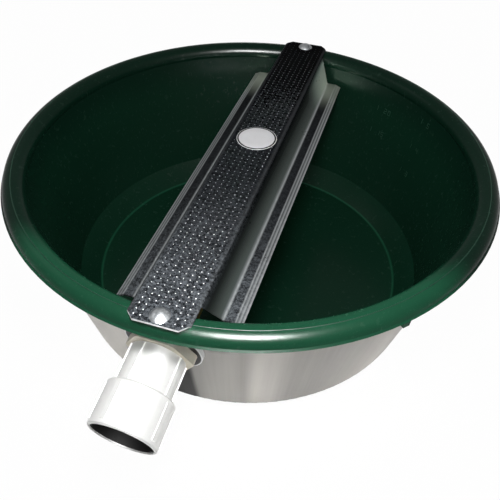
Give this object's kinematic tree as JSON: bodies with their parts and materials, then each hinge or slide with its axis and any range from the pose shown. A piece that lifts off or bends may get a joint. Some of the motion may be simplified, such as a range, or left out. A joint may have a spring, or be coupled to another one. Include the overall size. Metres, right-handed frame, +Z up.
{
  "type": "poultry waterer fount",
  "caption": "Round rolled-rim plastic drinking tub in a steel shell, with a folded cover bridge over a float valve and a pipe inlet through its sloping wall.",
  "frame": {"origin": "middle of the flat base that it rests on, on the tub's own axis", "axes": "+Z up along the tub's axis, the cover bridge along Y, and the inlet through the wall on the -Y side"},
  "size_m": [0.3521, 0.3936, 0.126],
  "materials": {
    "tub_plastic": "satin gloss moulded plastic",
    "shell_steel": "plain bright steel sheet, faintly brushed round",
    "zinc_sheet": "galvanised sheet with fine spangle and raised dots",
    "bright_zinc": "bright zinc plate",
    "white_pvc": "smooth white PVC",
    "cream_nylon": "cream nylon",
    "white_nylon": "white nylon",
    "black_rubber": "matt rubber",
    "brass": "cast and turned brass",
    "stainless": "turned stainless steel",
    "float_plastic": "black moulded float"
  },
  "bodies": {
    "bowl": {"tub": "tub_plastic", "outer_shell": "shell_steel", "valve_cover": "zinc_sheet", "cover_bolts": "bright_zinc", "cover_washers": "bright_zinc", "cover_nuts": "bright_zinc", "inlet_coupling": "white_pvc", "coupling_seal": "black_rubber", "inlet_lock_nut": "cream_nylon", "outer_washer": "bright_zinc", "inner_gasket": "black_rubber", "valve_body": "brass", "valve_seat": "cream_nylon", "pivot_pin": "stainless", "pivot_clip": "stainless"},
    "float_arm": {"float_lever": "brass", "float_rod": "stainless", "rod_thumb_screw": "brass", "float": "float_plastic", "float_nuts": "stainless"},
    "plunger": {"valve_plunger": "white_nylon", "plunger_seal": "black_rubber"}
  },
  "joints": [
    {"name": "float_hinge", "type": "hinge", "parent": "bowl", "child": "float_arm", "pos_m": [-0.00379, -0.10839, 0.0838], "axis": [0.9994, -0.0349, 0], "range_deg": [0, 20]},
    {"name": "plunger_slide", "type": "slide", "parent": "bowl", "child": "plunger", "axis": [-0.0339, -0.9697, -0.2419], "range_m": [0, 0.00314]}
  ],
  "couplings": [
    {"joint": "plunger_slide", "follows": "float_hinge", "m_per_rad": 0.009}
  ]
}
